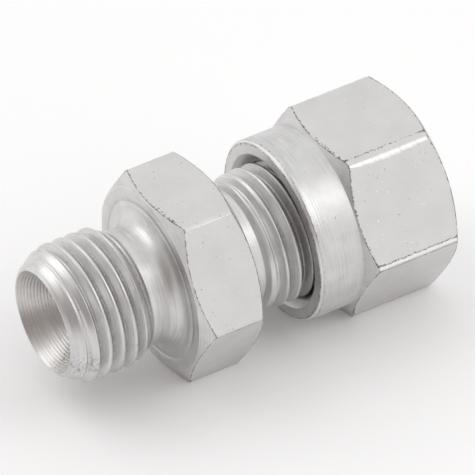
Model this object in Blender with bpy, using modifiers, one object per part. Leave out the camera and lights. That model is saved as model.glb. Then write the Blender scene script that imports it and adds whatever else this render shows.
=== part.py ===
"""Straight male stud coupling for 3/8 in tube: a turned hexagon body, its union nut and the cutting ring in the nut.

Everything is turned or cut about one axis, world X. The stud points to -X and the tube enters from +X. The fitting
lies on a flat of each hexagon, and the origin is on the axis, halfway between the stud's tip and the nut's end.
Lengths are in metres and angles in degrees. A station is a distance along the axis from the stud's tip.
"""
import math

import bmesh
import bpy
from mathutils import Matrix

# Thread, the same on both ends of the body and in the nut
PITCH = 0.001411
CREST_RADIUS = 0.007
THREAD_DEPTH = 0.00084
ADDENDUM = 0.000345
FLANK_ANGLE = 30.0
CREST_ROUND = 0.00015
FLANK_CLEARANCE = 0.00014
NUT_CREST_CLEARANCE = 0.00025
NUT_ROOT_CLEARANCE = 0.00022

# Hexagons
ACROSS_FLATS = 0.01905
BODY_EDGE_BREAK = 0.00014
NUT_EDGE_BREAK = 0.00026
FACE_RADIUS = 0.0093
HEX_CHAMFER_ANGLE = 30.0
HEX_WIDTH = 0.00709

# Stud end of the body
STUD_LENGTH = 0.0119
STUD_RIM_RADIUS = 0.0054
STUD_LEAD_RADIUS = 0.00574
STUD_LEAD_LENGTH = 0.0003
STUD_CHAMFER = 0.0024
NECK_RADIUS = 0.00594
NECK_LENGTH = 0.00302
NECK_FILLET = 0.0015
STUD_RUNOUT = 0.0015
STUD_THREAD_TIMING = 0.00179
STUD_CONE_MOUTH_RADIUS = 0.00525
STUD_CONE_HALF_ANGLE = 30.0

# Tube end of the body
TUBE_END_LENGTH = 0.0119
TUBE_RIM_RADIUS = 0.00585
TUBE_CHAMFER = 0.0012
RELIEF_LENGTH = 0.00235
RELIEF_FILLET = 0.0005
TUBE_STEP_RADIUS = 0.00652
TUBE_STEP_LENGTH = 0.0004
TUBE_RUNOUT = 0.00186
TUBE_THREAD_TIMING = 0.00257
TUBE_CONE_MOUTH_RADIUS = 0.0056
TUBE_STOP_DEPTH = 0.0075

# Bores
TUBE_RADIUS = 0.0047625
TUBE_CLEARANCE = 0.00008
FLOW_RADIUS = 0.0036
SEAT_HALF_ANGLE = 12.0

# Union nut
NUT_ENGAGEMENT = 0.00527
NUT_LENGTH = 0.01536
COLLAR_RADIUS = 0.00938
COLLAR_LENGTH = 0.00471
COLLAR_EDGE = 0.0003
COLLAR_CHAMFER_ANGLE = 30.0
NUT_MOUTH_RADIUS = 0.008
NUT_THREAD_LENGTH = 0.0085
NUT_RELIEF_LENGTH = 0.0017
NUT_RELIEF_CLEARANCE = 0.0001
NUT_TAIL_LENGTH = 0.0022
NUT_TAIL_EDGE = 0.0004
NUT_HOLE_CLEARANCE = 0.00022
NUT_SEAT_HALF_ANGLE = 45.0

# Cutting ring
RING_LENGTH = 0.0066
RING_NOSE_THICKNESS = 0.00034
RING_NOSE_LENGTH = 0.0026
RING_SHOULDER_RADIUS = 0.006
RING_SHOULDER_SLOPE = 0.0003
RING_TAIL_THICKNESS = 0.00031
RING_EDGE_LENGTH = 0.0007
RING_GROOVE_DEPTH = 0.0001
RING_CLEARANCE = 0.0003

# Resolution
STEPS = 36
FILLET_STEPS = 5
OVERCUT = 0.00012

# Stations and radii that follow from the sizes
HEX_START = STUD_LENGTH
HEX_END = HEX_START + HEX_WIDTH
BODY_END = HEX_END + TUBE_END_LENGTH
NUT_START = BODY_END - NUT_ENGAGEMENT
NUT_END = NUT_START + NUT_LENGTH
MIDDLE = NUT_END / 2
CORNER_RADIUS = ACROSS_FLATS / math.sqrt(3)
ROOT_RADIUS = CREST_RADIUS - THREAD_DEPTH
PITCH_RADIUS = CREST_RADIUS - ADDENDUM
SOCKET_RADIUS = TUBE_RADIUS + TUBE_CLEARANCE
NUT_CREST_RADIUS = ROOT_RADIUS + NUT_CREST_CLEARANCE
NUT_ROOT_RADIUS = CREST_RADIUS + NUT_ROOT_CLEARANCE
NUT_HOLE_RADIUS = TUBE_RADIUS + NUT_HOLE_CLEARANCE


def tangent(degrees):
    return math.tan(math.radians(degrees))


def make_collection(name):
    collection = bpy.data.collections.new(name)
    bpy.context.scene.collection.children.link(collection)
    return collection


def make_material(name, colour, roughness):
    material = bpy.data.materials.new(name)
    material.use_nodes = True
    shader = material.node_tree.nodes["Principled BSDF"]
    shader.inputs["Base Color"].default_value = (*colour, 1.0)
    shader.inputs["Metallic"].default_value = 1.0
    shader.inputs["Roughness"].default_value = roughness
    return material


def place(name, mesh, collection):
    """Add a mesh built about its own Z, so that Z becomes world X and the middle station comes to the origin."""
    obj = bpy.data.objects.new(name, mesh)
    obj.rotation_euler = (0.0, math.pi / 2, 0.0)
    obj.location = (-MIDDLE, 0.0, 0.0)
    collection.objects.link(obj)
    return obj


def place_cutter(name, mesh):
    obj = place(name, mesh, cutters)
    obj.hide_render = True
    obj.display_type = "WIRE"
    return obj


def turned(name, profile, material):
    """Turn a closed profile of (station, radius) points that runs towards the tube on its outer side."""
    points = [(radius, 0.0, station) for station, radius in reversed(profile)]
    edges = [(i, (i + 1) % len(points)) for i in range(len(points))]
    mesh = bpy.data.meshes.new(name)
    mesh.from_pydata(points, edges, [])
    mesh.materials.append(material)
    obj = place(name, mesh, parts)
    screw = obj.modifiers.new("Turn", "SCREW")
    screw.axis = "Z"
    screw.angle = math.tau
    screw.steps = STEPS
    screw.render_steps = STEPS
    screw.use_merge_vertices = True
    screw.merge_threshold = 0.00001
    return obj


def hexagon_bar(name, start, end, edge_break):
    """Hexagon bar with broken edges, one flat level below the axis and one above."""
    bar = bmesh.new()
    depth = end - start
    bmesh.ops.create_cone(bar, cap_ends=True, segments=6, radius1=CORNER_RADIUS, radius2=CORNER_RADIUS, depth=depth)
    corner = bar.verts[:][0].co
    turn = Matrix.Rotation(math.atan2(corner.x, corner.y), 4, "Z")
    middle = Matrix.Translation((0.0, 0.0, (start + end) / 2))
    bmesh.ops.transform(bar, matrix=middle @ turn, verts=bar.verts)
    long_edges = [edge for edge in bar.edges if edge.calc_length() > depth / 2]
    long_edges = [edge for edge in long_edges if abs(edge.verts[0].co.z - edge.verts[1].co.z) > depth / 2]
    bmesh.ops.bevel(bar, geom=long_edges, offset=edge_break, segments=1, affect="EDGES")
    mesh = bpy.data.meshes.new(name)
    bar.to_mesh(mesh)
    bar.free()
    return place_cutter(name, mesh)


def thread_cutter(name, section, timing, start, end):
    """Sweep a section of (radius, half width) pairs along the right-hand helix between two stations.

    The timing is a station where the middle of the section crosses the plane below the axis.
    """
    first = math.floor((start - timing) / PITCH * STEPS)
    last = math.ceil((end - timing) / PITCH * STEPS)
    angle = math.tau * first / STEPS
    middle = timing + PITCH * first / STEPS
    outline = [(radius, -half) for radius, half in section]
    outline += [(radius, half) for radius, half in reversed(section)]
    sweep = bmesh.new()
    ring = []
    for radius, offset in outline:
        ring.append(sweep.verts.new((radius * math.cos(angle), radius * math.sin(angle), middle + offset)))
    face = sweep.faces.new(ring)
    bmesh.ops.spin(
        sweep,
        geom=[face],
        cent=(0.0, 0.0, 0.0),
        axis=(0.0, 0.0, 1.0),
        dvec=(0.0, 0.0, PITCH / STEPS),
        angle=math.tau * (last - first) / STEPS,
        steps=last - first,
    )
    bmesh.ops.recalc_face_normals(sweep, faces=sweep.faces)
    mesh = bpy.data.meshes.new(name)
    sweep.to_mesh(mesh)
    sweep.free()
    return place_cutter(name, mesh)


def cut(obj, operation, cutter):
    boolean = obj.modifiers.new(cutter.name, "BOOLEAN")
    boolean.operation = operation
    boolean.object = cutter
    boolean.solver = "EXACT"


def clean(obj):
    """Join corners that the cuts leave closer together than any real edge."""
    weld = obj.modifiers.new("Clean", "WELD")
    weld.merge_threshold = 0.000004


def fillet(station, radius, size, start_angle, end_angle):
    """Points on a round about (station, radius), with 0 degrees towards the tube and 90 away from the axis."""
    points = []
    for i in range(FILLET_STEPS + 1):
        angle = math.radians(start_angle + (end_angle - start_angle) * i / FILLET_STEPS)
        points.append((station + size * math.cos(angle), radius + size * math.sin(angle)))
    return points


for old in list(bpy.data.objects):
    bpy.data.objects.remove(old, do_unlink=True)

parts = make_collection("male_stud_coupling")
cutters = make_collection("cutters")

# Male thread groove, with the crests rounded by its flared rim
half_at_pitch = PITCH / 4 + FLANK_CLEARANCE / 4
root_half = half_at_pitch - (PITCH_RADIUS - ROOT_RADIUS) * tangent(FLANK_ANGLE)
round_radius = CREST_RADIUS - CREST_ROUND
round_half = half_at_pitch + (round_radius - PITCH_RADIUS) * tangent(FLANK_ANGLE)
rim_half = min(round_half + CREST_ROUND + OVERCUT, PITCH * 0.49)
male_groove = [(ROOT_RADIUS, root_half), (round_radius, round_half), (CREST_RADIUS + OVERCUT, rim_half)]

# Body, with its bores, as one turned profile
out_radius = CORNER_RADIUS + OVERCUT
chamfer_run = (out_radius - FACE_RADIUS) * tangent(HEX_CHAMFER_ANGLE)
neck_start = HEX_START - NECK_LENGTH
relief_end = HEX_END + RELIEF_LENGTH
stud_cone_length = (STUD_CONE_MOUTH_RADIUS - FLOW_RADIUS) / tangent(STUD_CONE_HALF_ANGLE)
tube_cone_length = (TUBE_CONE_MOUTH_RADIUS - SOCKET_RADIUS) / tangent(SEAT_HALF_ANGLE)
body_profile = [
    (0.0, STUD_RIM_RADIUS),
    (STUD_LEAD_LENGTH, STUD_LEAD_RADIUS),
    (STUD_CHAMFER, CREST_RADIUS),
    (neck_start - STUD_RUNOUT, CREST_RADIUS),
    (neck_start, NECK_RADIUS),
]
body_profile += fillet(HEX_START - NECK_FILLET, NECK_RADIUS + NECK_FILLET, NECK_FILLET, -90.0, 0.0)
body_profile += [
    (HEX_START, FACE_RADIUS),
    (HEX_START + chamfer_run, out_radius),
    (HEX_END - chamfer_run, out_radius),
    (HEX_END, FACE_RADIUS),
]
body_profile += fillet(HEX_END + RELIEF_FILLET, NECK_RADIUS + RELIEF_FILLET, RELIEF_FILLET, 180.0, 270.0)
body_profile += [
    (relief_end, NECK_RADIUS),
    (relief_end + TUBE_STEP_LENGTH, TUBE_STEP_RADIUS),
    (relief_end + TUBE_RUNOUT, CREST_RADIUS),
    (BODY_END - TUBE_CHAMFER, CREST_RADIUS),
    (BODY_END, TUBE_RIM_RADIUS),
    (BODY_END, TUBE_CONE_MOUTH_RADIUS),
    (BODY_END - tube_cone_length, SOCKET_RADIUS),
    (BODY_END - TUBE_STOP_DEPTH, SOCKET_RADIUS),
    (BODY_END - TUBE_STOP_DEPTH, FLOW_RADIUS),
    (stud_cone_length, FLOW_RADIUS),
    (0.0, STUD_CONE_MOUTH_RADIUS),
]
body_steel = make_material("zinc_plated_body", (0.62, 0.60, 0.58), 0.35)
stud_body = turned("stud_body", body_profile, body_steel)
cut(stud_body, "INTERSECT", hexagon_bar("body_bar", -PITCH, BODY_END + PITCH, BODY_EDGE_BREAK))
stud_thread_end = neck_start + PITCH * 0.6
cut(stud_body, "DIFFERENCE", thread_cutter("stud_groove", male_groove, STUD_THREAD_TIMING, -PITCH, stud_thread_end))
tube_timing = HEX_END + TUBE_THREAD_TIMING
tube_thread_start = relief_end - PITCH * 0.6
tube_groove = thread_cutter("tube_groove", male_groove, tube_timing, tube_thread_start, BODY_END + PITCH)
cut(stud_body, "DIFFERENCE", tube_groove)
clean(stud_body)

# Nut, bored for the thread, the ring and the tube, its groove following the body's crests
nut_half_at_pitch = PITCH / 4 + FLANK_CLEARANCE * 3 / 4
nut_root_half = nut_half_at_pitch - (NUT_ROOT_RADIUS - PITCH_RADIUS) * tangent(FLANK_ANGLE)
nut_rim_radius = NUT_CREST_RADIUS - OVERCUT
nut_rim_half = min(nut_half_at_pitch + (PITCH_RADIUS - nut_rim_radius) * tangent(FLANK_ANGLE), PITCH * 0.49)
nut_groove_section = [(nut_rim_radius, nut_rim_half), (NUT_ROOT_RADIUS, nut_root_half)]
collar_end = NUT_START + COLLAR_LENGTH
nut_thread_end = NUT_START + NUT_THREAD_LENGTH
nut_relief_end = nut_thread_end + NUT_RELIEF_LENGTH
nut_relief_radius = NUT_ROOT_RADIUS + NUT_RELIEF_CLEARANCE
chamber_radius = RING_SHOULDER_RADIUS + RING_CLEARANCE
seat_end = NUT_END - NUT_TAIL_LENGTH
seat_start = seat_end - (chamber_radius - NUT_HOLE_RADIUS) / tangent(NUT_SEAT_HALF_ANGLE)
nut_profile = [
    (NUT_START, COLLAR_RADIUS - COLLAR_EDGE),
    (NUT_START + COLLAR_EDGE, COLLAR_RADIUS),
    (collar_end, COLLAR_RADIUS),
    (collar_end + (out_radius - COLLAR_RADIUS) * tangent(COLLAR_CHAMFER_ANGLE), out_radius),
    (NUT_END - chamfer_run, out_radius),
    (NUT_END, FACE_RADIUS),
    (NUT_END, NUT_HOLE_RADIUS + NUT_TAIL_EDGE),
    (NUT_END - NUT_TAIL_EDGE, NUT_HOLE_RADIUS),
    (seat_end, NUT_HOLE_RADIUS),
    (seat_start, chamber_radius),
    (nut_relief_end, chamber_radius),
    (nut_relief_end, nut_relief_radius),
    (nut_thread_end, nut_relief_radius),
    (nut_thread_end, NUT_CREST_RADIUS),
    (NUT_START + NUT_MOUTH_RADIUS - NUT_CREST_RADIUS, NUT_CREST_RADIUS),
    (NUT_START, NUT_MOUTH_RADIUS),
]
nut_steel = make_material("zinc_plated_nut", (0.64, 0.62, 0.60), 0.32)
union_nut = turned("union_nut", nut_profile, nut_steel)
cut(union_nut, "INTERSECT", hexagon_bar("nut_bar", NUT_START - PITCH, NUT_END + PITCH, NUT_EDGE_BREAK))
nut_timing = tube_timing + PITCH / 2
nut_thread_start = NUT_START - PITCH / 2
nut_cut_end = nut_thread_end + PITCH * 0.6
nut_groove = thread_cutter("nut_groove", nut_groove_section, nut_timing, nut_thread_start, nut_cut_end)
cut(union_nut, "DIFFERENCE", nut_groove)
clean(union_nut)

# Cutting ring, its tail seated in the nut's cone
ring_gap = RING_CLEARANCE / math.cos(math.radians(NUT_SEAT_HALF_ANGLE))
tail_radius = SOCKET_RADIUS + RING_TAIL_THICKNESS
nose_radius = SOCKET_RADIUS + RING_NOSE_THICKNESS
ring_end = seat_end - (tail_radius + ring_gap - NUT_HOLE_RADIUS) / tangent(NUT_SEAT_HALF_ANGLE)
shoulder_end = seat_end - (RING_SHOULDER_RADIUS + ring_gap - NUT_HOLE_RADIUS) / tangent(NUT_SEAT_HALF_ANGLE)
ring_start = ring_end - RING_LENGTH
nose_end = ring_start + RING_NOSE_LENGTH
ring_profile = [
    (ring_start, nose_radius),
    (nose_end, nose_radius + RING_NOSE_LENGTH * tangent(SEAT_HALF_ANGLE)),
    (nose_end + RING_SHOULDER_SLOPE, RING_SHOULDER_RADIUS),
    (shoulder_end, RING_SHOULDER_RADIUS),
    (ring_end, tail_radius),
    (ring_end, SOCKET_RADIUS),
    (ring_start + RING_EDGE_LENGTH * 3, SOCKET_RADIUS),
    (ring_start + RING_EDGE_LENGTH * 2, SOCKET_RADIUS + RING_GROOVE_DEPTH),
    (ring_start + RING_EDGE_LENGTH, SOCKET_RADIUS + RING_GROOVE_DEPTH),
    (ring_start + RING_EDGE_LENGTH, SOCKET_RADIUS),
    (ring_start, SOCKET_RADIUS),
]
ring_steel = make_material("hardened_ring_steel", (0.52, 0.50, 0.48), 0.4)
cutting_ring = turned("cutting_ring", ring_profile, ring_steel)
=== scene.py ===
"""Looks of the straight male stud coupling: finely cut, zinc plated surfaces over its three solids.

All sizes of the surfaces are in millimetres until a mesh is written. A station is a distance along
the axis from the stud's tip, and an angle runs from straight up towards -Y, so that station and
angle grow together along a right-hand thread.
"""
import math

import bpy
import numpy as np
from mathutils import Matrix, Vector


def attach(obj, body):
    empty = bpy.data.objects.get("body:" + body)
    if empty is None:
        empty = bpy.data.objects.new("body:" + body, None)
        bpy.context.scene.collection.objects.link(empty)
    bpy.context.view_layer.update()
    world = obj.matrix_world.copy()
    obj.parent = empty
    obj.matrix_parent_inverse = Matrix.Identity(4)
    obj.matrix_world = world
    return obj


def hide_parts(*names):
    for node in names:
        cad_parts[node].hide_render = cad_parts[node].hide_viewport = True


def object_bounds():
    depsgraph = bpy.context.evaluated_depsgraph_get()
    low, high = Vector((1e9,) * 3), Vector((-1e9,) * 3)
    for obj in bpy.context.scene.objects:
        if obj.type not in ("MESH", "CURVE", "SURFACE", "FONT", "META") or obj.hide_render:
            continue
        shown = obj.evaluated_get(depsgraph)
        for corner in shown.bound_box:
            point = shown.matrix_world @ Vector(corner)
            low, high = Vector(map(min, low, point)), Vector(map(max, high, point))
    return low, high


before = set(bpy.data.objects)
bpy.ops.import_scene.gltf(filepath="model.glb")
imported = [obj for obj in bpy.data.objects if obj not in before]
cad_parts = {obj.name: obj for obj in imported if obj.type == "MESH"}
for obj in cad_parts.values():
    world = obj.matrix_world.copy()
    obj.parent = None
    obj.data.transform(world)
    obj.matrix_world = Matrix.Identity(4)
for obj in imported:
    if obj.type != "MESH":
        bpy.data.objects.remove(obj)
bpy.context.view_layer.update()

MM = 0.001

# Thread, 9/16-18 UNF
PITCH = 1.411
CREST = 7.0
ROOT = 6.16
ROOT_HALF = 0.102
FLANK_SLOPE = 1 / math.tan(math.radians(30))
CREST_ROUND = 0.03
ROOT_ROUND = 0.025
THREAD_STEP = 0.06
HIDDEN_STEP = 0.09

# Hexagons, 3/4 in across flats. Columns over a flat and over its broken edge lie at angles in
# degrees, and rows lie at shares of the length.
ACROSS_FLATS = 19.05
HALF_FLATS = ACROSS_FLATS / 2
SHARP_CORNER = ACROSS_FLATS / math.sqrt(3)
FACE_RADIUS = 9.3
CHAMFER_RUN = math.tan(math.radians(30))
FLAT_COLUMNS = 33
FLAT_COLUMNS_END = 28.8
BREAK_COLUMNS = (29.4, 30.0, 30.6)
CONE_STEPS = np.array([0, 0.3, 0.6, 0.85, 1])[:, None]
BODY_FLAT_ROWS = 14
NUT_FLAT_ROWS = 50
END_SHARES = np.array([0, 0.01, 0.025, 0.055])
INNER_SHARES = (0.09, 0.91)

# Body
HEX_START = 11.9
HEX_END = 18.99
BODY_END = 30.89
STUD_RIM = 5.4
STUD_LEAD = (0.3, 5.74)
STUD_CHAMFER = 2.4
NECK = 5.94
NECK_START = 8.88
FILLET = 1.5
STUD_RUNOUT = 1.5
STUD_TIMING = 1.79
TOOL_LINE = (8.02, 8.08, 8.13)
TOOL_LINE_DEPTH = 0.05
SHOULDER_ROW = 8.7
BACK_ROW = 7.6
RELIEF_FILLET = 0.5
RELIEF_END = 21.34
TUBE_STEP = (0.4, 6.52)
TUBE_RUNOUT = 1.86
TUBE_TIMING = 21.56
TUBE_RIM = 5.85
TUBE_CHAMFER = 1.2
STUD_CONE_MOUTH = 5.25
STUD_CONE_SLOPE = math.tan(math.radians(27))
STUD_CONE_FEED = 0.28
FEED_ROWS = 6
FEED_FADE = 0.2
TOOL_NOSE = 0.5
TUBE_CONE_MOUTH = 5.6
SOCKET = 4.8425
FLOW = 3.4
CONE_SLOPE = math.tan(math.radians(12))
TUBE_STOP = 23.39

# Nut
NUT_START = 25.62
NUT_END = 40.98
COLLAR = 9.38
COLLAR_EDGE = 0.3
COLLAR_END = 30.33
COLLAR_RUN = math.tan(math.radians(30))
MOUTH = 8.0
NUT_CREST = 6.41
NUT_ROOT = 7.22
NUT_ROOT_HALF = 0.13
THREAD_END = 34.12
NUT_RELIEF_END = 35.82
NUT_RELIEF = 7.32
CHAMBER = 6.3
SEAT_END = 38.78
NUT_HOLE = 4.9825
TAIL_EDGE = 0.4

MIDDLE = NUT_END / 2
TURNED, DRAWN, BORED = 0, 1, 2

# Broken edges of the hexagons, from the upper front one round: where the break starts and ends and
# where its ridge lies, in degrees from the corner, how near the ridge comes to the sharp corner,
# the burr on its two borders, and how brightly its two faces are rubbed and lit by a painted
# highlight
BODY_EDGES = [
    (0.9, 1.3, 0.7, 0.40, 0.0, 0.0, 0.0, 1.0),
    (1.0, 0.8, -0.1, 0.30, 0.0, 0.9, 0.4, 0.0),
    (1.0, 0.8, 0.2, 0.30, 0.6, 0.0, 0.3, 0.3),
    (0.8, 1.1, 0.0, 0.30, 0.0, 0.6, 0.3, 0.3),
    (1.1, 0.9, 0.3, 0.30, 0.0, 0.0, 0.3, 0.3),
    (0.9, 1.0, 0.0, 0.30, 0.6, 0.0, 0.3, 0.3),
]
NUT_EDGES = [
    (3.2, 3.4, 0.5, 0.42, 0.80, 0.5, 0.0, 0.60),
    (2.1, 0.9, -0.2, 0.60, 0.85, 1.0, 0.9, 0.0),
    (1.6, 1.4, 0.0, 0.25, 0.7, 0.0, 0.3, 0.3),
    (1.5, 2.0, 0.3, 0.25, 0.0, 0.7, 0.3, 0.3),
    (2.2, 1.7, 0.0, 0.25, 0.7, 0.0, 0.3, 0.3),
    (1.7, 1.9, 0.0, 0.25, 0.9, 0.6, 0.3, 0.3),
]
BODY_SEED = 3
NUT_SEED = 17

# How a break's borders waver: degrees before the corner, shares after it, and its least width
BEFORE_WAVER = 0.35
AFTER_WAVER = 0.09
AFTER_TAPER = 0.4
LEAST_BREAK = 0.25

# Wear and painted shade: strengths are shares of one, reaches and fades are in mm, angles and
# widths in degrees
# Painted shade in the thread roots
ROOT_SHADE = 0.7
ROOT_SHADE_REACH = 0.05
ROOT_SHADE_FADE = 0.5
MARKS = 0.66
MARKS_WIDTH = 34
MARKS_FADE = 0.6
CHAMFER_MARKS_ANGLE = 108
CHAMFER_MARKS_END = STUD_CHAMFER + 0.8
CONE_MARKS_ANGLE = 160
CURVE_WEAR = 0.88
CURVE_WEAR_WAVER = 0.1
BODY_WEAR_REACH = 0.30
NUT_WEAR_REACH = 0.45
CONE_WEAR_POWER = 8
FLECKS = 0.68
FLECKS_REACH = 0.8
FLECKS_ANGLE = 12
FLECKS_WIDTH = 34
# Painted shade on the thread just inside the nut's mouth
RING_SHADE = 0.62
RING_PLACE = NUT_START + 0.7
RING_WIDTH = 1.0
# Painted shade inside the nut's thread, kept off two patches of the mouth's chamfer
HOLE_SHADE = 0.9
HOLE_SHADE_FADE = 0.8
HOLE_UNSHADED = 0.1
HOLE_UNSHADED_PATCHES = [(0.8, 165, 35), (1.3, 318, 42)]

# Levels at which wear, rubbed edges with a painted highlight, and painted shade start to show in a
# material and at which they show in full, and how much of a grain is added to them first
BURR_LEVELS = (1.46, 1.66)
BURR_GRAIN = 0.8
RUBBED_HIGHLIGHT_LEVELS = (0.68, 0.88)
RUBBED_HIGHLIGHT_GRAIN = 0.5
PAINTED_SHADE_LEVEL = -0.55

# Colours of wear, of painted shade, and of rubbed edges with a painted highlight
# Painted shade for thread roots, the thread by the nut's mouth and the inside of the nut
PAINTED_SHADE = "#6f6a66"
TURNED_BURR = "#7a7470"
DRAWN_BURR = "#736d69"
TURNED_PIT = "#8f8a86"
DRAWN_PIT = "#a39f9b"
NICK = "#f6f6f6"
# Rubbed edges that also carry a painted highlight
RUBBED_AND_HIGHLIGHT = "#f4f3f2"

# A turning tool's lines: how many to a millimetre along the axis, what share of that there is
# outwards, how fast they change round the axis, and the plain level where they fade out
LINES_PER_MM = 7.0
LINES_OUTWARDS = 0.9
LINES_AROUND = 0.22
LINES_PLAIN = 0.52

# Studio
OPEN_SIDE = (-0.733, -0.615, 0.292)
TABLE_REACH = 3.0
TABLE_GLOW = 0.045
PHOTO_WIDTH = 475
SENSOR_WIDTH = 36.0


# ---------------------------------------------------------------- shapes

def sector_angles():
    """Angles of a hexagon's columns: evenly over a flat, and three over the edge that ends it."""
    flat = np.linspace(-FLAT_COLUMNS_END, FLAT_COLUMNS_END, FLAT_COLUMNS)
    return np.radians(np.append(flat, BREAK_COLUMNS))


SECTOR = sector_angles()
COLUMNS = (np.arange(6)[:, None] * math.tau / 6 + SECTOR[None, :]).ravel()


def lower(first, second, size):
    """The lower of two fields, rounded where they meet.

    It is minus the size times the log of the sum of exp(-field / size).
    """
    return -size * np.logaddexp(-first / size, -second / size)


def higher(first, second, size):
    """The higher of two fields, rounded where they meet, by the same formula turned over."""
    return size * np.logaddexp(first / size, second / size)


def wobble(place, seed):
    """A smooth uneven wave between about -1 and 1: three sines at rates with no common measure."""
    slow = np.sin(1.7 * place + 2.1 * seed)
    middling = np.sin(4.1 * place + 4.7 * seed)
    quick = np.sin(9.3 * place + 8.3 * seed)
    return (slow + middling + quick) / 2.4


def bell(middle, width):
    """A bell round the axis: exp(-(away / width)^2), where away is the angle from the middle."""
    away = (np.degrees(COLUMNS) - middle + 180) % 360 - 180
    return np.exp(-(away / width) ** 2)


def groove_distance(stations, timing):
    """Distance along the axis from the middle of the nearest turn of a groove.

    The groove's middle lies at the timing plus one pitch for each turn from straight down, and the
    distance is what is left of the station less that line, wrapped to half a pitch each way.
    """
    line = stations[:, None] - timing - PITCH * (COLUMNS[None, :] / math.tau + 0.5)
    return np.abs(line - PITCH * np.round(line / PITCH))


def profile_radius(stations, profile):
    """Radius of a turned profile of (station, radius) points, straight between them."""
    return np.interp(stations, [p[0] for p in profile], [p[1] for p in profile])[:, None]


def male_thread(stations, profile, timing):
    """Radius of a threaded bar.

    A 60 degree groove, rounded at its root, is cut into the profile and rounded at the crest.
    """
    flank = ROOT + (groove_distance(stations, timing) - ROOT_HALF) * FLANK_SLOPE
    groove = higher(ROOT, flank, ROOT_ROUND)
    return lower(profile_radius(stations, profile), groove, CREST_ROUND)


def female_thread(stations, profile, timing):
    """Radius of a threaded hole.

    The groove is cut outwards, so its flank falls from the root as the distance grows.
    """
    flank = NUT_ROOT - (groove_distance(stations, timing) - NUT_ROOT_HALF) * FLANK_SLOPE
    groove = lower(NUT_ROOT, flank, ROOT_ROUND)
    return higher(profile_radius(stations, profile), groove, CREST_ROUND)


def painted_root_shade(stations, radii, start):
    """Painted shade in a thread's root, faded in from a start.

    Its depth is exp(-distance from the root / reach).
    """
    shade = ROOT_SHADE * np.exp(-np.abs(radii - ROOT) / ROOT_SHADE_REACH)
    return shade * np.clip((stations - start) / ROOT_SHADE_FADE, 0, 1)[:, None]


def tip_marks(stations, end, middle):
    """Handling marks low on the stud's tip: a bell about an angle, on stations before an end."""
    marks = MARKS * bell(middle, MARKS_WIDTH)[None, :]
    return marks * np.clip((end - stations) / MARKS_FADE, 0, 1)[:, None]


def band(stations, radii, finish=TURNED, angles=COLUMNS, worn=0.0, bright=0.0, edges=False):
    """Rows of a surface round the axis, with its finish and whether it has hexagon edges.

    Each row and column has a station, a radius, an angle, and how worn and how bright it is. Burrs
    and flecks gather where it is worn. Where bright it is rubbed and takes a painted highlight, and
    where that is negative it takes painted shade.
    """
    fields = [np.asarray(field, float) for field in (stations, radii, angles, worn, bright)]
    fields = [
        field[:, None] if field.ndim == 1 and field.size != COLUMNS.size else field
        for field in fields
    ]
    return np.stack(np.broadcast_arrays(*fields)), finish, edges


def straight(start, end, count=2, finish=TURNED):
    """A cone, cylinder or flat ring between two (station, radius) points, in even steps."""
    stations = np.linspace(start[0], end[0], count)
    radii = np.linspace(start[1], end[1], count)
    return band(stations, radii, finish)


def arc(centre, size, start, end, count):
    """Stations and radii of a round about a (station, radius) centre.

    Its angles are 0 degrees towards the tube and 90 away from the axis.
    """
    turn = np.radians(np.linspace(start, end, count))
    return centre[0] + size * np.cos(turn), centre[1] + size * np.sin(turn)


def hexagon(stations, edges, seed):
    """Angles and radii of rows of hexagon bar, each edge broken into two faces with a ridge.

    Columns go evenly over a flat, between the broken parts of its two edges, at half the size
    across flats over the cosine of the angle from the flat's middle. An edge's before and after
    say where its break starts and ends, in degrees from the corner. Both waver along the bar, and
    the after tapers to its ends. The ridge lies at the edge's turn, and its lift is the share of
    the way from the straight break to the sharp corner.
    """
    before, after, turn = np.radians(np.array(edges)[:, :3]).T[:, :, None, None]
    lift = np.array(edges)[:, 3, None, None]
    number = np.arange(6)[:, None, None]
    along = np.linspace(-1, 1, len(stations))[None, :, None]
    place = stations[None, :, None]
    before = before + math.radians(BEFORE_WAVER) * wobble(1.6 * place, seed + number)
    waver = AFTER_WAVER * wobble(2.1 * place, seed + 7.7 + number)
    after = after * (1 + waver - AFTER_TAPER * along ** 2)
    after = np.maximum(after, turn + math.radians(LEAST_BREAK))
    corner = math.radians(30)
    first = np.roll(after, 1, axis=0) - corner
    last = corner - before
    flat = first + np.linspace(0, 1, FLAT_COLUMNS) * (last - first)
    half = (before + after) / 2
    chord = HALF_FLATS / np.cos(corner - half) * np.cos(half)
    peak = chord + lift * (SHARP_CORNER - chord)
    ridge = np.concatenate([corner + turn + 0 * half, peak], axis=2)
    start = np.concatenate([last, HALF_FLATS / np.cos(last)], axis=2)
    end = np.concatenate([corner + after, HALF_FLATS / np.cos(corner - after)], axis=2)
    edge = np.stack([(start + ridge) / 2, ridge, (ridge + end) / 2], axis=2)
    angles = np.concatenate([flat, edge[..., 0]], axis=2) + number * math.tau / 6
    radii = np.concatenate([HALF_FLATS / np.cos(flat), edge[..., 1]], axis=2)
    return [field.transpose(1, 0, 2).reshape(len(stations), -1) for field in (angles, radii)]


def flats_wear(shares, length, edges, seed, reach):
    """How worn the flats of a hexagon are, for rows at the given shares of its length.

    The wear is near one on the curves where the chamfers meet the flats. It falls off over the
    reach from the first curve, and over half of that from the last. The borders of a break have
    its burr, and the upper flat has looser flecks further in from its first curve.
    """
    curve = np.exp(-np.minimum(shares, 2 - 2 * shares) * length / reach)[:, None]
    curve = curve * (CURVE_WEAR + CURVE_WEAR_WAVER * wobble(4 * COLUMNS, seed))
    flecks = np.minimum(FLECKS, np.exp(-shares * length / FLECKS_REACH))[:, None]
    flecks = flecks * bell(FLECKS_ANGLE, FLECKS_WIDTH)
    border = np.zeros((6, SECTOR.size))
    border[:, FLAT_COLUMNS - 1] = np.array(edges)[:, 4]
    border[:, 0] = np.roll(np.array(edges)[:, 5], 1)
    return np.maximum(np.maximum(curve, flecks), border.ravel())


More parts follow.
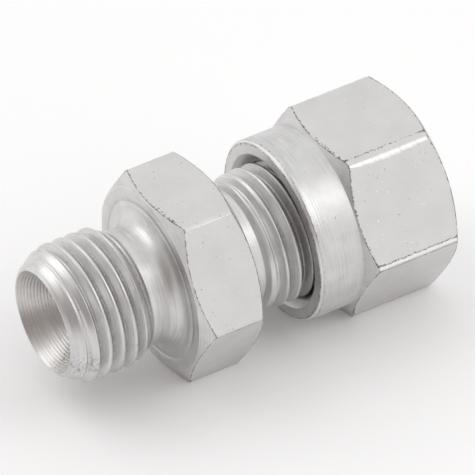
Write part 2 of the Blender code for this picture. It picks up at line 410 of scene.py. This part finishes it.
def flats_rub_and_highlight(edges):
    """How bright each column of a hexagon is: only on the two faces of each break."""
    bright = np.zeros((6, SECTOR.size))
    # The break faces are rubbed and take a painted highlight
    rub_and_highlight = np.array(edges)[:, 6:]
    bright[:, FLAT_COLUMNS] = rub_and_highlight[:, 0]
    bright[:, FLAT_COLUMNS + 1] = rub_and_highlight.mean(axis=1)
    bright[:, FLAT_COLUMNS + 2] = rub_and_highlight[:, 1]
    return bright.ravel()


def hexagon_bands(start, end, edges, seed, flat_rows, reach):
    """A chamfered hexagon as three bands: cone, flats and cone.

    The start and the end are each a station, a radius and a run. A cone's station changes with its
    radius by its run, so it meets the flats on a curve that is nearest to the face at the middle of
    each flat.
    """
    start, start_radius, start_run = start
    end, end_radius, end_run = end
    inner = np.linspace(*INNER_SHARES, flat_rows)
    shares = np.concatenate([END_SHARES, inner, 1 - END_SHARES[::-1]])
    angles, radii = hexagon(start + (end - start) * shares, edges, seed)
    first = start + (radii[0] - start_radius) * start_run
    last = end - (radii[-1] - end_radius) * end_run
    stations = first + shares[:, None] * (last - first)
    worn = flats_wear(shares, end - start, edges, seed, reach)
    steps = CONE_STEPS
    front = band(
        start + steps * (first - start),
        start_radius + steps * (radii[0] - start_radius),
        TURNED,
        COLUMNS + steps * (angles[0] - COLUMNS),
        steps ** CONE_WEAR_POWER,
    )
    flats = band(stations, radii, DRAWN, angles, worn, flats_rub_and_highlight(edges), edges=True)
    back = band(
        last + steps * (end - last),
        radii[-1] + steps * (end_radius - radii[-1]),
        TURNED,
        angles[-1] + steps * (COLUMNS - angles[-1]),
        (1 - steps) ** CONE_WEAR_POWER,
    )
    return [front, flats, back]


def bored_cone(start, end, feed):
    """A cone bored with a pointed tool: a shallow round hollow between two ridges of its feed.

    The wall stands in from the cone by nose - sqrt(nose^2 - u^2), where u is the distance along
    the axis from the middle of the nearest turn of the feed. The marks fade out at the two
    ends.
    """
    rows = np.linspace(start[0], end[0], round(abs(end[0] - start[0]) / feed * FEED_ROWS) + 1)
    cone = profile_radius(rows, sorted((start, end)))
    turn = rows[:, None] / feed - COLUMNS[None, :] / math.tau
    aside = (turn - np.round(turn)) * feed
    ridge = TOOL_NOSE - np.sqrt(TOOL_NOSE ** 2 - aside ** 2)
    inside = np.minimum(rows - rows.min(), rows.max() - rows)
    fade = np.clip(inside / FEED_FADE, 0, 1)[:, None]
    stations = np.broadcast_to(rows[:, None], ridge.shape)
    marks = tip_marks(rows, STUD_CHAMFER, CONE_MARKS_ANGLE)
    return band(stations, cone - ridge * fade, BORED, worn=marks)


def mark_crisp_edges(mesh, bands, rows, columns):
    """Keep shading crisp where one band meets the next and along the broken hexagon edges."""
    ends = np.empty(len(mesh.edges) * 2, dtype=np.int32)
    mesh.edges.foreach_get("vertices", ends)
    ends = ends.reshape(-1, 2)
    edge_row = ends // columns
    edge_column = ends[:, 0] % columns
    around = edge_row[:, 0] == edge_row[:, 1]
    counts = [fields.shape[1] - 1 for fields, _, _ in bands]
    crisp_row = np.zeros(rows, dtype=bool)
    crisp_row[np.cumsum([0] + counts[:-1])] = True
    edged_row = np.repeat([edges for _, _, edges in bands], counts)
    edged_row = edged_row | np.roll(edged_row, 1)
    on_break = np.isin(edge_column % SECTOR.size, (0, FLAT_COLUMNS - 1, FLAT_COLUMNS + 1))
    on_break = on_break & edged_row[edge_row].all(axis=1)
    crisp = np.where(around, crisp_row[edge_row[:, 0]], on_break)
    mesh.attributes.new("sharp_edge", "BOOLEAN", "EDGE").data.foreach_set("value", crisp)


def shell(name, bands, node, finishes):
    """A closed mesh of bands that follow one another round a closed profile.

    Point (row, column) lies at x = station less the middle, y = -radius sin(angle) and
    z = radius cos(angle). Rows and columns both close on themselves.
    """
    fields = np.concatenate([fields[:, :-1] for fields, _, _ in bands], axis=1)
    station, radius, angle, worn, bright = fields
    points = [station - MIDDLE, -radius * np.sin(angle), radius * np.cos(angle)]
    points = np.stack(points, axis=-1) * MM
    rows, columns = station.shape
    row = np.arange(rows)[:, None]
    column = np.arange(columns)[None, :]
    next_row = (row + 1) % rows
    next_column = (column + 1) % columns
    corners = [row * columns + column, row * columns + next_column]
    corners += [next_row * columns + next_column, next_row * columns + column]
    faces = np.stack(corners, axis=-1).reshape(-1, 4)
    mesh = bpy.data.meshes.new(name)
    mesh.from_pydata(points.reshape(-1, 3).tolist(), [], faces.tolist())
    for finish in finishes:
        mesh.materials.append(finish)
    counts = [fields.shape[1] - 1 for fields, _, _ in bands]
    finish_of_face = np.repeat(np.repeat([finish for _, finish, _ in bands], counts), columns)
    mesh.polygons.foreach_set("material_index", finish_of_face.astype(np.int32))
    mesh.polygons.foreach_set("use_smooth", np.ones(len(faces), dtype=bool))
    for label, wear in (("worn", worn), ("bright", bright)):
        values = wear.ravel().astype(np.float32)
        mesh.attributes.new(label, "FLOAT", "POINT").data.foreach_set("value", values)
    mark_crisp_edges(mesh, bands, rows, columns)
    mesh.update()
    piece = bpy.data.objects.new(name, mesh)
    bpy.context.scene.collection.objects.link(piece)
    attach(piece, node)
    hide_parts(node)


def stud_thread_band():
    """The stud's chamfered tip and its thread, which runs out at the neck."""
    profile = [
        (0, STUD_RIM),
        STUD_LEAD,
        (STUD_CHAMFER, CREST),
        (NECK_START - STUD_RUNOUT, CREST),
        (NECK_START, NECK),
    ]
    rows = np.linspace(0, NECK_START, round(NECK_START / THREAD_STEP) + 1)
    radii = male_thread(rows, profile, STUD_TIMING)
    marks = tip_marks(rows, CHAMFER_MARKS_END, CHAMFER_MARKS_ANGLE)
    # Painted shade darkens the thread's roots
    return band(rows, radii, worn=marks, bright=-painted_root_shade(rows, radii, STUD_CHAMFER))


def neck_band():
    """The neck, its fillet, and the shoulder with a shallow line that the facing tool left."""
    round_x, round_r = arc((HEX_START - FILLET, NECK + FILLET), FILLET, -90, 0, 14)
    neck_x = np.linspace(NECK_START, HEX_START - FILLET, 6)[:-1]
    line_x = [HEX_START, HEX_START + TOOL_LINE_DEPTH, HEX_START]
    x = np.concatenate([neck_x, round_x, line_x, [HEX_START, HEX_START]])
    r = np.concatenate([[NECK] * 5, round_r, TOOL_LINE, [SHOULDER_ROW, FACE_RADIUS]])
    return band(x, r)


def relief_band():
    """The back face of the hexagon and the relief behind it."""
    centre = (HEX_END + RELIEF_FILLET, NECK + RELIEF_FILLET)
    round_x, round_r = arc(centre, RELIEF_FILLET, 180, 270, 8)
    x = np.concatenate([[HEX_END] * 2, round_x, [RELIEF_END - 0.7, RELIEF_END]])
    r = np.concatenate([[FACE_RADIUS, BACK_ROW], round_r, [NECK, NECK]])
    return band(x, r)


def tube_thread_band():
    """The thread for the nut, with fewer rows where the nut hides it.

    A ring of painted shade lies just inside the nut's mouth: a bell along the axis.
    """
    profile = [
        (RELIEF_END, NECK),
        (RELIEF_END + TUBE_STEP[0], TUBE_STEP[1]),
        (RELIEF_END + TUBE_RUNOUT, CREST),
        (BODY_END - TUBE_CHAMFER, CREST),
        (BODY_END, TUBE_RIM),
    ]
    seen_end = NUT_START + PITCH
    rows = np.concatenate([
        np.arange(RELIEF_END, seen_end, THREAD_STEP),
        np.linspace(seen_end, BODY_END, round((BODY_END - seen_end) / HIDDEN_STEP)),
    ])
    radii = male_thread(rows, profile, TUBE_TIMING)
    # Painted shade: a ring just inside the nut's mouth, and the thread's roots
    ring = RING_SHADE * np.exp(-((rows - RING_PLACE) / RING_WIDTH) ** 2)
    shade = np.maximum(painted_root_shade(rows, radii, RELIEF_END + TUBE_RUNOUT), ring[:, None])
    return band(rows, radii, bright=-shade)


def stud_body_bands():
    """The body's profile: outside from the stud's tip to the tube end, and back through it."""
    tube_cone_end = BODY_END - (TUBE_CONE_MOUTH - SOCKET) / CONE_SLOPE
    stud_cone_end = (STUD_CONE_MOUTH - FLOW) / STUD_CONE_SLOPE
    return [
        straight((0, STUD_CONE_MOUTH), (0, STUD_RIM), 3),
        stud_thread_band(),
        neck_band(),
        *hexagon_bands(
            (HEX_START, FACE_RADIUS, CHAMFER_RUN),
            (HEX_END, FACE_RADIUS, CHAMFER_RUN),
            BODY_EDGES,
            BODY_SEED,
            BODY_FLAT_ROWS,
            BODY_WEAR_REACH,
        ),
        relief_band(),
        tube_thread_band(),
        straight((BODY_END, TUBE_RIM), (BODY_END, TUBE_CONE_MOUTH)),
        straight((BODY_END, TUBE_CONE_MOUTH), (tube_cone_end, SOCKET), 5, BORED),
        straight((tube_cone_end, SOCKET), (TUBE_STOP, SOCKET), 3, BORED),
        straight((TUBE_STOP, SOCKET), (TUBE_STOP, FLOW), 3, BORED),
        straight((TUBE_STOP, FLOW), (stud_cone_end, FLOW), 9, BORED),
        bored_cone((stud_cone_end, FLOW), (0, STUD_CONE_MOUTH), STUD_CONE_FEED),
    ]


def collar_bands():
    """The nut's front face, the broken rim of its collar, and the collar."""
    rim = COLLAR - COLLAR_EDGE
    face = band(
        [NUT_START] * 5,
        [MOUTH, MOUTH + 0.2, rim - 0.5, rim - 0.15, rim],
        worn=[0.6, 0.2, 0, 0.6, 0.8],
    )
    broken_rim = band(
        [NUT_START, NUT_START + COLLAR_EDGE / 2, NUT_START + COLLAR_EDGE],
        [rim, COLLAR - COLLAR_EDGE / 2, COLLAR],
        worn=[0.8, 0, 0.3],
        # The rim's two outer faces are rubbed and take a painted highlight
        bright=[0.0, 0.66, 0.55],
    )
    middle = np.linspace(NUT_START + 0.9, COLLAR_END - 0.5, 6)
    collar = band(
        [NUT_START + COLLAR_EDGE, NUT_START + 0.55, *middle, COLLAR_END - 0.2, COLLAR_END],
        [COLLAR] * 10,
        worn=[0.7, 0.2, 0, 0, 0, 0, 0, 0, 0.2, 0.6],
    )
    return [face, broken_rim, collar]


def nut_thread_band():
    """The nut's thread from its end out to the chamfer of the mouth.

    Painted shade lies inside it, and starts deeper in two patches where the chamfer shows, at the
    bottom and at the top behind. A patch has a depth, and the middle and the width of its bell.
    """
    count = round((THREAD_END - NUT_START) / HIDDEN_STEP) + 1
    rows = np.linspace(THREAD_END, NUT_START, count)
    mouth_end = NUT_START + MOUTH - NUT_CREST
    profile = [(NUT_START, MOUTH), (mouth_end, NUT_CREST), (THREAD_END, NUT_CREST)]
    radii = female_thread(rows[::-1], profile, TUBE_TIMING + PITCH / 2)[::-1]
    unshaded = HOLE_UNSHADED
    for depth, middle, width in HOLE_UNSHADED_PATCHES:
        unshaded = unshaded + depth * bell(middle, width)
    fade = np.clip((rows[:, None] - NUT_START - unshaded[None, :]) / HOLE_SHADE_FADE, 0, 1)
    # Painted shade inside the nut's thread
    return band(rows, radii, BORED, bright=-(HOLE_SHADE * fade))


def union_nut_bands():
    """The nut's profile: outside from its mouth to its end, and back through the hole."""
    seat_start = SEAT_END - (CHAMBER - NUT_HOLE)
    return [
        *collar_bands(),
        *hexagon_bands(
            (COLLAR_END, COLLAR, COLLAR_RUN),
            (NUT_END, FACE_RADIUS, CHAMFER_RUN),
            NUT_EDGES,
            NUT_SEED,
            NUT_FLAT_ROWS,
            NUT_WEAR_REACH,
        ),
        straight((NUT_END, FACE_RADIUS), (NUT_END, NUT_HOLE + TAIL_EDGE), 6),
        straight((NUT_END, NUT_HOLE + TAIL_EDGE), (NUT_END - TAIL_EDGE, NUT_HOLE)),
        straight((NUT_END - TAIL_EDGE, NUT_HOLE), (SEAT_END, NUT_HOLE), 3, BORED),
        straight((SEAT_END, NUT_HOLE), (seat_start, CHAMBER), 3, BORED),
        straight((seat_start, CHAMBER), (NUT_RELIEF_END, CHAMBER), 3, BORED),
        straight((NUT_RELIEF_END, CHAMBER), (NUT_RELIEF_END, NUT_RELIEF), 3, BORED),
        straight((NUT_RELIEF_END, NUT_RELIEF), (THREAD_END, NUT_RELIEF), 3, BORED),
        straight((THREAD_END, NUT_RELIEF), (THREAD_END, NUT_CREST), 3, BORED),
        nut_thread_band(),
    ]


# ---------------------------------------------------------------- materials

def linear(colour):
    """An sRGB hex colour as linear values with alpha one."""
    parts = np.array([int(colour[i:i + 2], 16) for i in (1, 3, 5)]) / 255
    parts = np.where(parts <= 0.04045, parts / 12.92, ((parts + 0.055) / 1.055) ** 2.4)
    return (*parts.tolist(), 1.0)


def add(tree, kind, inputs=None, **settings):
    """Add a node, set its properties, and fill its inputs from values or other nodes' outputs."""
    made = tree.nodes.new(kind)
    for key, value in settings.items():
        setattr(made, key, value)
    for key, value in (inputs or {}).items():
        if isinstance(value, bpy.types.NodeSocket):
            tree.links.new(value, made.inputs[key])
        else:
            made.inputs[key].default_value = value
    return made


def new_material(name):
    """A material with its node tree and its main shader."""
    material = bpy.data.materials.new(name)
    material.use_nodes = True
    return material, material.node_tree, material.node_tree.nodes["Principled BSDF"]


def millimetres(tree):
    """The place on the object in millimetres."""
    place = add(tree, "ShaderNodeTexCoord").outputs["Object"]
    sizes = {"Vector": place, "Scale": (1000, 1000, 1000)}
    return add(tree, "ShaderNodeMapping", sizes).outputs["Vector"]


def share_between(tree, value, low, high):
    """How far a value has gone from the low level, at zero, to the high one, at one."""
    levels = {"Value": value, "From Min": low, "From Max": high}
    return add(tree, "ShaderNodeMapRange", levels).outputs["Result"]


def blend(tree, factor, first, second):
    """The first colour, turning to the second as the factor goes to one."""
    colours = {"Factor": factor, "A": first, "B": second}
    return add(tree, "ShaderNodeMix", colours, data_type="RGBA").outputs["Result"]


def pits(tree, place, spacing, size, patch, share):
    """Small scattered marks of uneven size, in mm, that come in loose clusters.

    A mark lies where a cloud's nearest point is closer than its own size, and a slow noise of the
    given patch size keeps them to a share of the surface: the higher the share, the more is kept.
    """
    bent = add(tree, "ShaderNodeTexNoise", {"Vector": place, "Scale": 3.0})
    bent = add(
        tree,
        "ShaderNodeVectorMath",
        {0: bent.outputs["Color"], 1: (0.5, 0.5, 0.5), 2: place},
        operation="MULTIPLY_ADD",
    )
    points = add(
        tree, "ShaderNodeTexVoronoi", {"Vector": bent.outputs["Vector"], "Scale": 1 / spacing}
    )
    uneven = add(tree, "ShaderNodeSeparateColor", {"Color": points.outputs["Color"]})
    away = add(
        tree,
        "ShaderNodeMath",
        {0: uneven.outputs["Red"], 1: size / spacing, 2: points.outputs["Distance"]},
        operation="MULTIPLY_ADD",
    )
    marks = add(tree, "ShaderNodeMapRange", {
        "Value": away.outputs["Value"],
        "From Min": 1.2 * size / spacing,
        "From Max": 0.7 * size / spacing,
    })
    cluster = add(tree, "ShaderNodeTexNoise", {"Vector": place, "Scale": 1 / patch})
    cluster = add(tree, "ShaderNodeMapRange", {
        "Value": cluster.outputs["Fac"],
        "From Min": 0.62 - share / 4,
        "From Max": 0.72 - share / 4,
    })
    both = {0: marks.outputs["Result"], 1: cluster.outputs["Result"]}
    return add(tree, "ShaderNodeMath", both, operation="MULTIPLY").outputs["Value"]


def dark_burr(tree, place, grain):
    """Where a dark burr or fleck lies: the wear, plus a fine grain and a coarser one."""
    worn = add(tree, "ShaderNodeAttribute", attribute_name="worn")
    coarse = add(tree, "ShaderNodeTexNoise", {"Vector": place, "Scale": 2.6, "Detail": 3.0})
    burr = add(
        tree,
        "ShaderNodeMath",
        {0: grain.outputs["Fac"], 1: BURR_GRAIN, 2: worn.outputs["Fac"]},
        operation="MULTIPLY_ADD",
    )
    burr = add(
        tree,
        "ShaderNodeMath",
        {0: coarse.outputs["Fac"], 1: BURR_GRAIN, 2: burr.outputs["Value"]},
        operation="MULTIPLY_ADD",
    )
    return share_between(tree, burr.outputs["Value"], *BURR_LEVELS)


def rubbed_and_highlight(tree, grain):
    """Where an edge is rubbed and takes a painted highlight: its brightness, plus a fine grain."""
    bright = add(tree, "ShaderNodeAttribute", attribute_name="bright")
    rub_and_highlight = add(
        tree,
        "ShaderNodeMath",
        {0: grain.outputs["Fac"], 1: RUBBED_HIGHLIGHT_GRAIN, 2: bright.outputs["Fac"]},
        operation="MULTIPLY_ADD",
    )
    return share_between(tree, rub_and_highlight.outputs["Value"], *RUBBED_HIGHLIGHT_LEVELS)


def painted_shade_mask(tree, grain):
    """Where painted shade lies: as deep as the brightness is negative, uneven by a fine grain."""
    bright = add(tree, "ShaderNodeAttribute", attribute_name="bright")
    both = {0: bright.outputs["Fac"], 1: grain.outputs["Fac"]}
    uneven = add(tree, "ShaderNodeMath", both, operation="MULTIPLY")
    return share_between(tree, uneven.outputs["Value"], 0.0, PAINTED_SHADE_LEVEL)


def tool_lines(tree, place):
    """A turning tool's lines round the axis, as light and dark streaks.

    The feed runs along the axis on cylinders and outwards on faces, and a line changes slowly
    round it. Real lines lie closer than a pixel, and these are drawn a little further apart. They
    are fainter on faces square to the axis, and in patches.
    """
    parts = add(tree, "ShaderNodeSeparateXYZ", {"Vector": place}).outputs
    across = add(tree, "ShaderNodeCombineXYZ", {"X": parts["Y"], "Y": parts["Z"]})
    across = across.outputs["Vector"]
    radius = add(tree, "ShaderNodeVectorMath", {0: across}, operation="LENGTH")
    feed = add(
        tree,
        "ShaderNodeMath",
        {0: radius.outputs["Value"], 1: LINES_OUTWARDS, 2: parts["X"]},
        operation="MULTIPLY_ADD",
    )
    closer = {0: feed.outputs["Value"], 1: LINES_PER_MM}
    feed = add(tree, "ShaderNodeMath", closer, operation="MULTIPLY")
    slow = {0: across, 1: (LINES_AROUND,) * 3}
    around = add(tree, "ShaderNodeVectorMath", slow, operation="MULTIPLY")
    around = add(tree, "ShaderNodeSeparateXYZ", {"Vector": around.outputs["Vector"]})
    streak = add(tree, "ShaderNodeCombineXYZ", {
        "X": feed.outputs["Value"],
        "Y": around.outputs["X"],
        "Z": around.outputs["Y"],
    })
    lines = add(tree, "ShaderNodeTexNoise", {
        "Vector": streak.outputs["Vector"],
        "Scale": 1.0,
        "Detail": 2.0,
        "Roughness": 0.7,
    })
    normal = add(tree, "ShaderNodeTexCoord").outputs["Normal"]
    normal = add(tree, "ShaderNodeSeparateXYZ", {"Vector": normal}).outputs["X"]
    square = add(tree, "ShaderNodeMath", {0: normal, 1: normal}, operation="MULTIPLY")
    square = add(tree, "ShaderNodeMapRange", {
        "Value": square.outputs["Value"],
        "From Min": 0.7,
        "From Max": 0.95,
        "To Max": 0.85,
    })
    patch = add(tree, "ShaderNodeTexNoise", {"Vector": place, "Scale": 0.22})
    patch = add(tree, "ShaderNodeMapRange", {
        "Value": patch.outputs["Fac"],
        "From Min": 0.42,
        "From Max": 0.6,
        "To Max": 0.75,
    })
    either = {0: square.outputs["Result"], 1: patch.outputs["Result"]}
    faint = add(tree, "ShaderNodeMath", either, operation="MAXIMUM")
    plain = {"Factor": faint.outputs["Value"], "A": lines.outputs["Fac"], "B": LINES_PLAIN}
    return add(tree, "ShaderNodeMix", plain).outputs["Result"]


def connect_metal(tree, shader, colour, grain, rough, height, depth):
    """Connect a metal to its shader: colour, roughness limits over the grain, and height in mm."""
    rough = add(tree, "ShaderNodeMapRange", {
        "Value": grain.outputs["Fac"],
        "From Min": 0.3,
        "From Max": 0.7,
        "To Min": rough[0],
        "To Max": rough[1],
    })
    relief = {"Height": height, "Distance": depth * MM, "Strength": 1.0}
    bump = add(tree, "ShaderNodeBump", relief)
    tree.links.new(colour, shader.inputs["Base Color"])
    tree.links.new(rough.outputs["Result"], shader.inputs["Roughness"])
    tree.links.new(bump.outputs["Normal"], shader.inputs["Normal"])
    shader.inputs["Metallic"].default_value = 1.0


def turned_zinc(name, light, dark, depth):
    """Turned steel under bright zinc: satin, with the tool's fine lines and small pits.

    It takes painted shade, dark burrs, and rubbed edges with a painted highlight.
    """
    material, tree, shader = new_material(name)
    place = millimetres(tree)
    lines = tool_lines(tree, place)
    patches = add(tree, "ShaderNodeTexNoise", {"Vector": place, "Scale": 0.6, "Detail": 3.0})
    grain = add(tree, "ShaderNodeTexNoise", {"Vector": place, "Scale": 9.0, "Detail": 2.0})
    tone = add(
        tree,
        "ShaderNodeMath",
        {0: patches.outputs["Fac"], 1: 0.35, 2: lines},
        operation="MULTIPLY_ADD",
    )
    tone = share_between(tree, tone.outputs["Value"], 0.44, 0.90)
    colour = blend(tree, tone, linear(dark), linear(light))
    # Painted shade in recesses: thread roots, next to the nut's mouth and inside the nut
    colour = blend(tree, painted_shade_mask(tree, grain), colour, linear(PAINTED_SHADE))
    colour = blend(tree, dark_burr(tree, place, grain), colour, linear(TURNED_BURR))
    # Rubbed edges, brightened further with a painted highlight
    colour = blend(tree, rubbed_and_highlight(tree, grain), colour, linear(RUBBED_AND_HIGHLIGHT))
    marks = pits(tree, place, spacing=0.45, size=0.07, patch=2.5, share=0.5)
    colour = blend(tree, marks, colour, linear(TURNED_PIT))
    height = add(
        tree,
        "ShaderNodeMath",
        {0: grain.outputs["Fac"], 1: 0.3, 2: lines},
        operation="MULTIPLY_ADD",
    )
    connect_metal(tree, shader, colour, grain, (0.34, 0.45), height.outputs["Value"], depth)
    return material


def drawn_zinc(name, light, dark, pitted):
    """Cold drawn hexagon bar under bright zinc: even satin flats with fine pits and bright nicks.

    Dark burrs follow the worn borders, and the broken edges are rubbed bright and take a painted
    highlight. The pitted share is how much of the surface has pits.
    """
    material, tree, shader = new_material(name)
    place = millimetres(tree)
    cloud = add(tree, "ShaderNodeTexNoise", {"Vector": place, "Scale": 0.35, "Detail": 5.0})
    grain = add(tree, "ShaderNodeTexNoise", {"Vector": place, "Scale": 7.0, "Detail": 3.0})
    tone = share_between(tree, cloud.outputs["Fac"], 0.3, 0.7)
    colour = blend(tree, tone, linear(dark), linear(light))
    marks = pits(tree, place, spacing=0.5, size=0.075, patch=2.5, share=pitted)
    colour = blend(tree, marks, colour, linear(DRAWN_PIT))
    moved = {"Vector": place, "Location": (3.3, 1.7, 9.1)}
    other = add(tree, "ShaderNodeMapping", moved).outputs["Vector"]
    nicks = pits(tree, other, spacing=0.30, size=0.055, patch=2.5, share=0.85)
    colour = blend(tree, nicks, colour, linear(NICK))
    # Rubbed edges, brightened further with a painted highlight
    colour = blend(tree, rubbed_and_highlight(tree, grain), colour, linear(RUBBED_AND_HIGHLIGHT))
    colour = blend(tree, dark_burr(tree, place, grain), colour, linear(DRAWN_BURR))
    connect_metal(tree, shader, colour, grain, (0.38, 0.46), grain.outputs["Fac"], 0.004)
    return material


# ---------------------------------------------------------------- stage, light and camera

def floor():
    """A white table top, white to the camera and in reflections, with the object's shadow on it."""
    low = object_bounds()[0][2]
    reach = TABLE_REACH
    corners = [(-reach, -reach), (reach, -reach), (reach, reach), (-reach, reach)]
    corners = [(x, y, low) for x, y in corners]
    mesh = bpy.data.meshes.new("table_top")
    mesh.from_pydata(corners, [], [(0, 1, 2, 3)])
    material, tree, shader = new_material("white_table")
    shader.inputs["Base Color"].default_value = linear("#fafafa")
    shader.inputs["Roughness"].default_value = 0.9
    shader.inputs["Emission Color"].default_value = (1, 1, 1, 1)
    rays = add(tree, "ShaderNodeLightPath").outputs
    seen = {0: rays["Is Camera Ray"], 1: rays["Is Glossy Ray"]}
    seen = add(tree, "ShaderNodeMath", seen, operation="MAXIMUM")
    seen = {0: seen.outputs["Value"], 1: rays["Is Transmission Ray"]}
    seen = add(tree, "ShaderNodeMath", seen, operation="MAXIMUM")
    glow = {0: seen.outputs["Value"], 1: TABLE_GLOW}
    glow = add(tree, "ShaderNodeMath", glow, operation="MULTIPLY")
    tree.links.new(glow.outputs["Value"], shader.inputs["Emission Strength"])
    mesh.materials.append(material)
    table = bpy.data.objects.new("table_top", mesh)
    bpy.context.scene.collection.objects.link(table)


def soft_light(name, place, size, power):
    """A square soft lamp, with sizes in metres, that looks at the object's middle."""
    lamp = bpy.data.lights.new(name, "AREA")
    lamp.shape = "RECTANGLE"
    lamp.size = lamp.size_y = size
    lamp.energy = power
    holder = bpy.data.objects.new(name, lamp)
    holder.location = place
    holder.rotation_euler = (-Vector(place)).to_track_quat("-Z", "Y").to_euler()
    bpy.context.scene.collection.objects.link(holder)


def studio_world():
    """Soft white light from all round, dimmer and warmer on the studio's open side."""
    world = bpy.data.worlds.new("studio")
    bpy.context.scene.world = world
    world.use_nodes = True
    tree = world.node_tree
    background = tree.nodes["Background"]
    place = add(tree, "ShaderNodeTexCoord").outputs["Generated"]
    near = add(tree, "ShaderNodeVectorMath", {0: place, 1: OPEN_SIDE}, operation="DOT_PRODUCT")
    near = near.outputs["Value"]
    level = add(
        tree,
        "ShaderNodeMapRange",
        {"Value": near, "From Min": 0.45, "From Max": 0.96, "To Min": 0.94, "To Max": 0.35},
        interpolation_type="SMOOTHSTEP",
    )
    tree.links.new(level.outputs["Result"], background.inputs["Strength"])
    warmth = share_between(tree, near, 0.5, 0.9)
    colour = blend(tree, warmth, linear("#ffffff"), linear("#fff2ef"))
    tree.links.new(colour, background.inputs["Color"])


def camera():
    """The camera fitted to both hexagons, a long lens from 40 hexagon widths away.

    Its turn, rise and roll are in radians, its distance and shifts in hexagon widths, its scale in
    pixels to a width, and the place on the axis that it was fitted about in millimetres.
    """
    turn, rise, roll = -0.51499, 0.68263, -0.03511
    distance, scale = 40.0, 197.45327
    aside, above = -0.39829, -0.19587
    fitted_about = -7.61
    back = Vector((
        math.sin(turn) * math.cos(rise),
        -math.cos(turn) * math.cos(rise),
        math.sin(rise),
    ))
    level = Vector((0, 0, 1)).cross(back).normalized()
    upright = back.cross(level)
    right = math.cos(roll) * level + math.sin(roll) * upright
    up = -math.sin(roll) * level + math.cos(roll) * upright
    place = (distance * back - aside * right - above * up) * ACROSS_FLATS * MM
    place += Vector((fitted_about * MM, 0, 0))
    lens = bpy.data.cameras.new("photo_view")
    lens.sensor_width = SENSOR_WIDTH
    lens.lens = scale * distance / PHOTO_WIDTH * SENSOR_WIDTH
    lens.clip_start = 0.01
    lens.clip_end = 10.0
    holder = bpy.data.objects.new("photo_view", lens)
    facing = Matrix((right, up, back)).transposed().to_4x4()
    holder.matrix_world = Matrix.Translation(place) @ facing
    bpy.context.scene.collection.objects.link(holder)
    bpy.context.scene.camera = holder


# ---------------------------------------------------------------- assembly

# Turned outside surfaces: satin grey with fine lines round them
turned_body = turned_zinc("turned_zinc_plate_body", "#e6e6e6", "#c6c4c2", 0.013)
turned_nut = turned_zinc("turned_zinc_plate_nut", "#e2e2e2", "#c3c1c0", 0.018)
# Flats of the hexagons: an even pale grey with specks
drawn_body = drawn_zinc("drawn_zinc_plate_body", "#dcdbda", "#d5d4d2", 1.0)
drawn_nut = drawn_zinc("drawn_zinc_plate_nut", "#dcdbda", "#d5d4d2", 0.6)
# Bored inside surfaces: the same plating, a little warmer
bored_body = turned_zinc("bored_zinc_plate_body", "#dddbd9", "#c2bfbc", 0.016)
bored_nut = turned_zinc("bored_zinc_plate_nut", "#e8e7e6", "#d0cecc", 0.012)
# Plain hardened steel: darker than the plating, and finely turned
ring_steel = turned_zinc("hardened_ring_steel", "#b5b2af", "#9d9a97", 0.006)

body_finishes = [turned_body, drawn_body, bored_body]
nut_finishes = [turned_nut, drawn_nut, bored_nut]
shell("turned_stud_body", stud_body_bands(), "stud_body", body_finishes)
shell("turned_union_nut", union_nut_bands(), "union_nut", nut_finishes)
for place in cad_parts["cutting_ring"].material_slots:
    place.material = ring_steel

floor()
studio_world()
soft_light("front_right", (0.40, -0.33, 0.47), 0.45, 0.65)
soft_light("back_left", (-0.28, 0.40, 0.50), 0.45, 0.6)
camera()
bpy.context.scene.view_settings.view_transform = "Standard"
